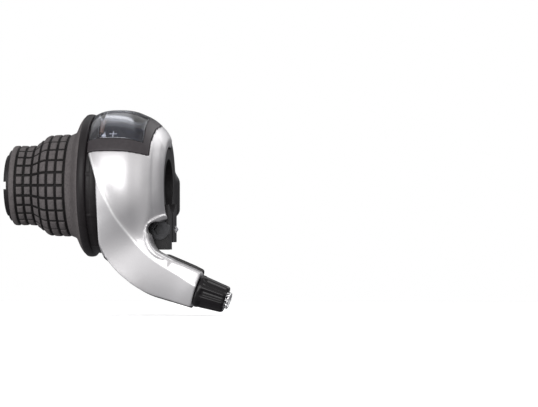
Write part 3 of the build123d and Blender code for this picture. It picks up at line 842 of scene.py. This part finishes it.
def build_rubber():
    rng = np.random.default_rng(7)
    lean = rng.normal(0, 0.05, (len(COLUMNS), ROWS))
    fine = [-0.62, -0.42, -0.3, -0.15, 0.15, 0.3, 0.42, 0.62]
    xs = set(np.round(np.linspace(COLUMNS[0] - 1.5, COLUMNS[-1] + 1.2, 34), 3))
    xs.update(round(c + f, 3) for c in COLUMNS for f in fine)
    xs = sorted(v for v in xs if COLUMNS[0] - 1.6 < v < COLUMNS[-1] + 1.3)
    curve = smooth_curve(GRIP_OUTER, 400)
    before = curve[curve[:, 0] < xs[0] - 0.2][::6]
    after = curve[curve[:, 0] > xs[-1] + 0.2][::7]
    blocks = np.stack([xs, np.interp(xs, curve[:, 0], curve[:, 1])], -1)
    outer = np.vstack([[GRIP_OUTER[0]], before, blocks, after, [GRIP_OUTER[-1]]])
    loop = np.vstack([outer, GRIP_INNER])
    outside = np.arange(len(loop)) < len(outer)
    pitch = 2 * math.pi / ROWS
    parts = [0.0, 0.03, 0.055, 0.08, 0.11, 0.14, 0.22, 0.36, 0.5, 0.64, 0.78, 0.86, 0.89, 0.92, 0.945, 0.97]
    angles = [(row + part) * pitch for row in range(ROWS) for part in parts]

    def relief(x, r, angle):
        near = ((angle / pitch + 0.5) % 1 - 0.5) * pitch
        lengthwise = in_groove(near * r)
        ends = np.clip((x - COLUMNS[0] + 0.5) / 0.3, 0, 1) * np.clip((COLUMNS[-1] + 0.5 - x) / 0.3, 0, 1)
        around = np.zeros(x.shape)
        for c in COLUMNS:
            around = np.maximum(around, in_groove(x - c))
        row = np.floor(angle / pitch).astype(int) % ROWS
        column = np.clip(np.searchsorted(COLUMNS, x[0]) - 1, 0, len(COLUMNS) - 1)
        tilt = lean[column[None, :], row] * ends
        dome = 0.10 * np.sin(np.pi * ((angle / pitch) % 1)) * ends
        blocks_only = (x > COLUMNS[0] - 1) * (x < COLUMNS[-1] + 1)
        depth = GROOVE_DEPTH * np.maximum(lengthwise * ends, around) * blocks_only
        moved = r - depth + (tilt + dome) * (1 - np.maximum(lengthwise, around))
        return np.where(outside[None, :], moved, r)

    verts, faces = turned(loop, angles, relief)
    obj = make_object("grip_rubber", verts, faces, GRIP, RUBBER, "grip_rubber", "grip_sleeve")
    # Painted shade: the rubber's colour darkens with how far each point is sunk into a groove.
    radius = np.hypot(verts[:, 1], verts[:, 2])
    sunk = np.interp(verts[:, 0], curve[:, 0], curve[:, 1]) - radius
    point_values(obj, np.clip((sunk - 0.12) / 0.3, 0, 1) * np.tile(outside, len(angles)))


# Core of the grip, from its bore round the skirt and the flange's rim and back along the rubber's seat
FLANGE = [
    (-59.4, 13.0),
    (-10.1, 13.0),
    (-10.1, 14.55),
    (-20.0, 14.55),
    (-25.2, 14.6),
    (-25.3, 15.2),
    (-26.9, 16.8),
    (-27.0, 25.6),
    (-26.7, 26.15),
    (-20.95, 26.25),
    (-20.6, 26.5),
    (-20.6, 27.9),
    (-20.95, 28.25),
    (-23.4, 28.4),
    (-24.9, 28.45),
    (-25.35, 28.6),
    (-25.5, 29.0),
    (-25.55, 29.4),
    (-25.8, 29.8),
    (-26.3, 30.0),
    (-27.3, 30.1),
    (-28.2, 30.0),
    (-28.7, 29.8),
    (-28.88, 29.4),
    (-28.9, 28.6),
    (-30.4, 24.85),
    (-32.0, 19.6),
    (-34.5, 18.25),
    (-47.0, 18.0),
    (-51.0, 14.65),
    (-59.3, 14.65),
    (-59.45, 14.4),
]


def build_flange():
    """Core tube, flange, rolled rim and skirt, with plain raised ribs and position bars on the skirt."""
    loop = []
    for a, b in zip(FLANGE, FLANGE[1:] + FLANGE[:1]):
        on_skirt = a[0] < -21.6 and b[0] > -25 and min(a[1], b[1]) > 28
        count = 9 if on_skirt else 1
        for n in range(count):
            loop.append((a[0] + (b[0] - a[0]) * n / count, a[1] + (b[1] - a[1]) * n / count))

    def relief(x, r, angle):
        degrees = np.degrees(angle) % 360
        position_bar = np.zeros(degrees.shape, bool)
        for click in range(3):
            position_bar |= np.abs((degrees - (9.5 - 36 * click) + 180) % 360 - 180) < 1.4
        ribs = (degrees % 9 < 1.6) & (x > -23.1)
        ring = np.abs(x + 23.5) < 0.14
        height = np.where(position_bar, 0.32, np.where(ribs | ring, 0.14, 0.0))
        skirt = (r > 28.1) & (x > -24.95) & (x < -21.9)
        return np.where(skirt, r + height, r)

    verts, faces = turned(loop, np.linspace(0, 2 * math.pi, 360, endpoint=False), relief)
    make_object("grip_flange", verts, faces, GRIP, CORE, "core_plastic", "grip_core")


# ---------------------------------------------------------------- the cable adjuster


def along_neck(loop, steps, relief):
    """Turned ring mesh about the adjuster's axis: loop of (distance from the neck's end, radius)."""
    verts, faces = turned(loop, np.linspace(0, 2 * math.pi, steps, endpoint=False), relief)
    axes = np.array([NECK_DIR, [0.0, 1.0, 0.0], NECK_UP])
    return NECK_END + verts @ axes, faces


def build_knob():
    flutes = 8
    outer = [(0.35, 5.9), (0.4, 6.5), (0.7, 6.85), (1.2, 6.9), (1.9, 6.85)]
    outer += [(s, np.interp(s, [1.9, 12.0], [6.85, 5.85])) for s in np.linspace(2.2, 12.0, 22)]
    outer += [(12.5, 5.7), (12.85, 5.35), (13.0, 4.9)]
    inner = [(13.0, 3.9), (12.8, 3.72), (-3.2, 3.72), (-3.3, 3.9), (-3.3, 5.1), (-3.2, 5.2), (0.3, 5.2)]

    def relief(s, r, angle):
        wave = 0.5 + 0.5 * np.cos(angle * flutes)
        flute = np.clip(1.45 - 2.1 * wave, 0, 1)
        ends = np.clip((s - 1.9) / 1.2, 0, 1)
        return np.where((r > 4.5) & (s > 0.32), r - 0.75 * (1 - flute) * ends, r)

    verts, faces = along_neck(outer + inner, 192, relief)
    make_object("knob_fluted", verts, faces, "knob", KNOB, "knob_black", "adjuster_knob")


def build_adjuster_bolt():
    """Hollow screw: ribbed for its thread, and toothed round its bright tip."""
    outer = [(-12.6, 2.0), (-12.4, 2.4)]
    outer += [(s, 2.42 + (0.05 if n % 2 else -0.18)) for n, s in enumerate(np.arange(-12.0, 1.6, 0.4))]
    outer += [(1.7, 2.45), (1.72, 3.4), (1.9, 3.58), (12.6, 3.58), (12.7, 3.3), (13.3, 3.3), (13.4, 3.58)]
    outer += [(14.2, 3.58), (14.5, 3.3)]
    inner = [(14.5, 2.75), (14.3, 2.55), (9.05, 2.55), (9.0, 2.4), (9.0, 1.1), (-12.6, 1.1)]

    def relief(s, r, angle):
        tooth = (np.degrees(angle) % 30 < 11) & (s > 13.35) & (r > 3.2)
        return np.where(tooth, r - 0.4, r)

    verts, faces = along_neck(outer + inner, 144, relief)
    make_object("bolt_tip", verts, faces, "bolt", BRIGHT, "bolt_metal", "adjuster_bolt")


# ---------------------------------------------------------------- carried-over CAD nodes


def finish_cad_nodes():
    """Material and edge rounding, in millimetres, of each piece that keeps its CAD shape."""
    finishes = {
        "clamp_frame": (NYLON, 0.35),
        "clamp_bolt": (BLACK_STEEL, 0.25),
        "clamp_nut": (STEEL, 0.2),
        "cover_screws": (BLACK_STEEL, 0.12),
        "indicator_needle": (NEEDLE, 0.08),
        "detent_spring": (SPRING, 0.05),
        "spring_screw": (STEEL, 0.1),
        "cable_guide": (LINER, 0.1),
        "thread_insert": (BRASS, 0.15),
        "retaining_ring": (CORE, 0.2),
        "thrust_washer": (STEEL, 0.1),
        "friction_washer": (STEEL, 0.1),
        "cable_drum": (ACETAL, 0.2),
        "detent_ring": (STEEL, 0.08),
        "adjuster_spring": (SPRING, 0.0),
    }
    for name, (mat, width) in finishes.items():
        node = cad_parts[name]
        node.data.materials.clear()
        node.data.materials.append(mat)
        if width > 0:
            bevelled(node, width)


# ---------------------------------------------------------------- studio


# Name, place, size and power; all of them face the object
LIGHTS = (
    ("key", (-0.03, -0.95, 0.30), (0.55, 0.8), 5.0),
    ("overhead", (0.0, 0.52, 0.70), (2.1, 0.55), 3.0),
    ("sky_right", (0.60, 0.40, 0.65), (0.6, 0.6), 1.2),
    ("left_fill", (-0.72, -0.55, -0.20), (0.6, 0.6), 1.6),
    ("right_fill", (0.9, 0.05, 0.15), (0.5, 0.9), 0.4),
    ("right_back", (0.42, 0.75, 0.40), (0.5, 0.5), 0.8),
)


def build_lights():
    for name, place, size, power in LIGHTS:
        data = bpy.data.lights.new(name, "AREA")
        data.shape = "RECTANGLE"
        data.size, data.size_y = size
        data.energy = power
        light = bpy.data.objects.new(name, data)
        light.location = place
        light.rotation_euler = (-Vector(place)).to_track_quat("-Z", "Y").to_euler()
        bpy.context.collection.objects.link(light)


def build_floor():
    """Pale floor under the object, which doesn't colour it by reflection or shade."""
    floor_z = cad_box[0][2] - 0.0015
    reach, behind = 3.0, 0.25
    corners = [(-reach, -reach), (reach, -reach), (reach, behind), (-reach, behind)]
    mesh = bpy.data.meshes.new("floor")
    mesh.from_pydata([(x, y, floor_z) for x, y in corners], [], [(0, 1, 2, 3)])
    floor = bpy.data.objects.new("floor", mesh)
    bpy.context.collection.objects.link(floor)
    pale = material("floor_pale", (0.92, 0.92, 0.92), 0.85, spread=0.01, scale=30.0, bump=0.02, grain=200.0)
    shader = pale.node_tree.nodes["Principled BSDF"]
    shader.inputs["Emission Color"].default_value = (1, 1, 1, 1)
    shader.inputs["Emission Strength"].default_value = 0.4
    mesh.materials.append(pale)
    floor.visible_glossy = False
    floor.visible_diffuse = False
    floor.visible_shadow = False


def build_world():
    """Broad light from above the camera and a weaker one from low left, with white behind the object."""
    world = bpy.data.worlds.new("studio")
    bpy.context.scene.world = world
    world.use_nodes = True
    nodes = world.node_tree.nodes
    link = world.node_tree.links.new
    direction = nodes.new("ShaderNodeTexCoord")

    def lobe(towards, start):
        """0 to 1 as the direction turns towards a point, from a start in cosine."""
        dot = nodes.new("ShaderNodeVectorMath")
        dot.operation = "DOT_PRODUCT"
        dot.inputs[1].default_value = Vector(towards).normalized()
        share = nodes.new("ShaderNodeMapRange")
        share.inputs["From Min"].default_value = start
        link(direction.outputs["Generated"], dot.inputs[0])
        link(dot.outputs["Value"], share.inputs["Value"])
        return share

    fade = nodes.new("ShaderNodeValToRGB")
    fade.color_ramp.interpolation = "EASE"
    fade.color_ramp.elements[0].color = (0.20, 0.20, 0.21, 1)
    fade.color_ramp.elements[1].position = 1.0
    fade.color_ramp.elements[1].color = (1.0, 0.99, 0.99, 1)
    link(lobe((0.08, -0.79, 0.60), -0.1).outputs["Result"], fade.inputs["Fac"])
    bounce = lobe((-0.72, -0.42, -0.55), 0.5)
    bounce.inputs["To Max"].default_value = 0.38
    total = nodes.new("ShaderNodeVectorMath")
    link(fade.outputs["Color"], total.inputs[0])
    link(bounce.outputs["Result"], total.inputs[1])
    seen = nodes.new("ShaderNodeLightPath")
    choose = nodes.new("ShaderNodeMix")
    choose.data_type = "RGBA"
    choose.inputs["B"].default_value = (1, 1, 1, 1)
    link(seen.outputs["Is Camera Ray"], choose.inputs["Factor"])
    link(total.outputs["Vector"], choose.inputs["A"])
    background = nodes["Background"]
    background.inputs["Strength"].default_value = 1.0
    link(choose.outputs["Result"], background.inputs["Color"])


def build_camera():
    """Level camera, a few degrees round towards the inboard end, with the object left of the middle."""
    azimuth = math.radians(7.7)
    distance = 2.0
    width = 0.227
    camera_data = bpy.data.cameras.new("camera")
    camera = bpy.data.objects.new("camera", camera_data)
    bpy.context.collection.objects.link(camera)
    bpy.context.scene.camera = camera
    right = Vector((math.cos(azimuth), math.sin(azimuth), 0))
    aim = right * 0.0477 + Vector((0, 0, -0.0076))
    camera.location = aim + distance * Vector((math.sin(azimuth), -math.cos(azimuth), 0))
    camera.rotation_euler = (aim - camera.location).to_track_quat("-Z", "Y").to_euler()
    camera_data.sensor_width = 36.0
    camera_data.lens = camera_data.sensor_width * distance / width
    camera_data.clip_end = 20.0
    view = bpy.context.scene.view_settings
    view.view_transform = "Standard"
    view.look = "None"
    view.exposure = 0.0


build_covers()
build_bezel()
build_lens()
build_dial()
build_dial_marks()
build_rubber()
build_flange()
build_knob()
build_adjuster_bolt()
finish_cad_nodes()
build_floor()
build_world()
build_lights()
build_camera()
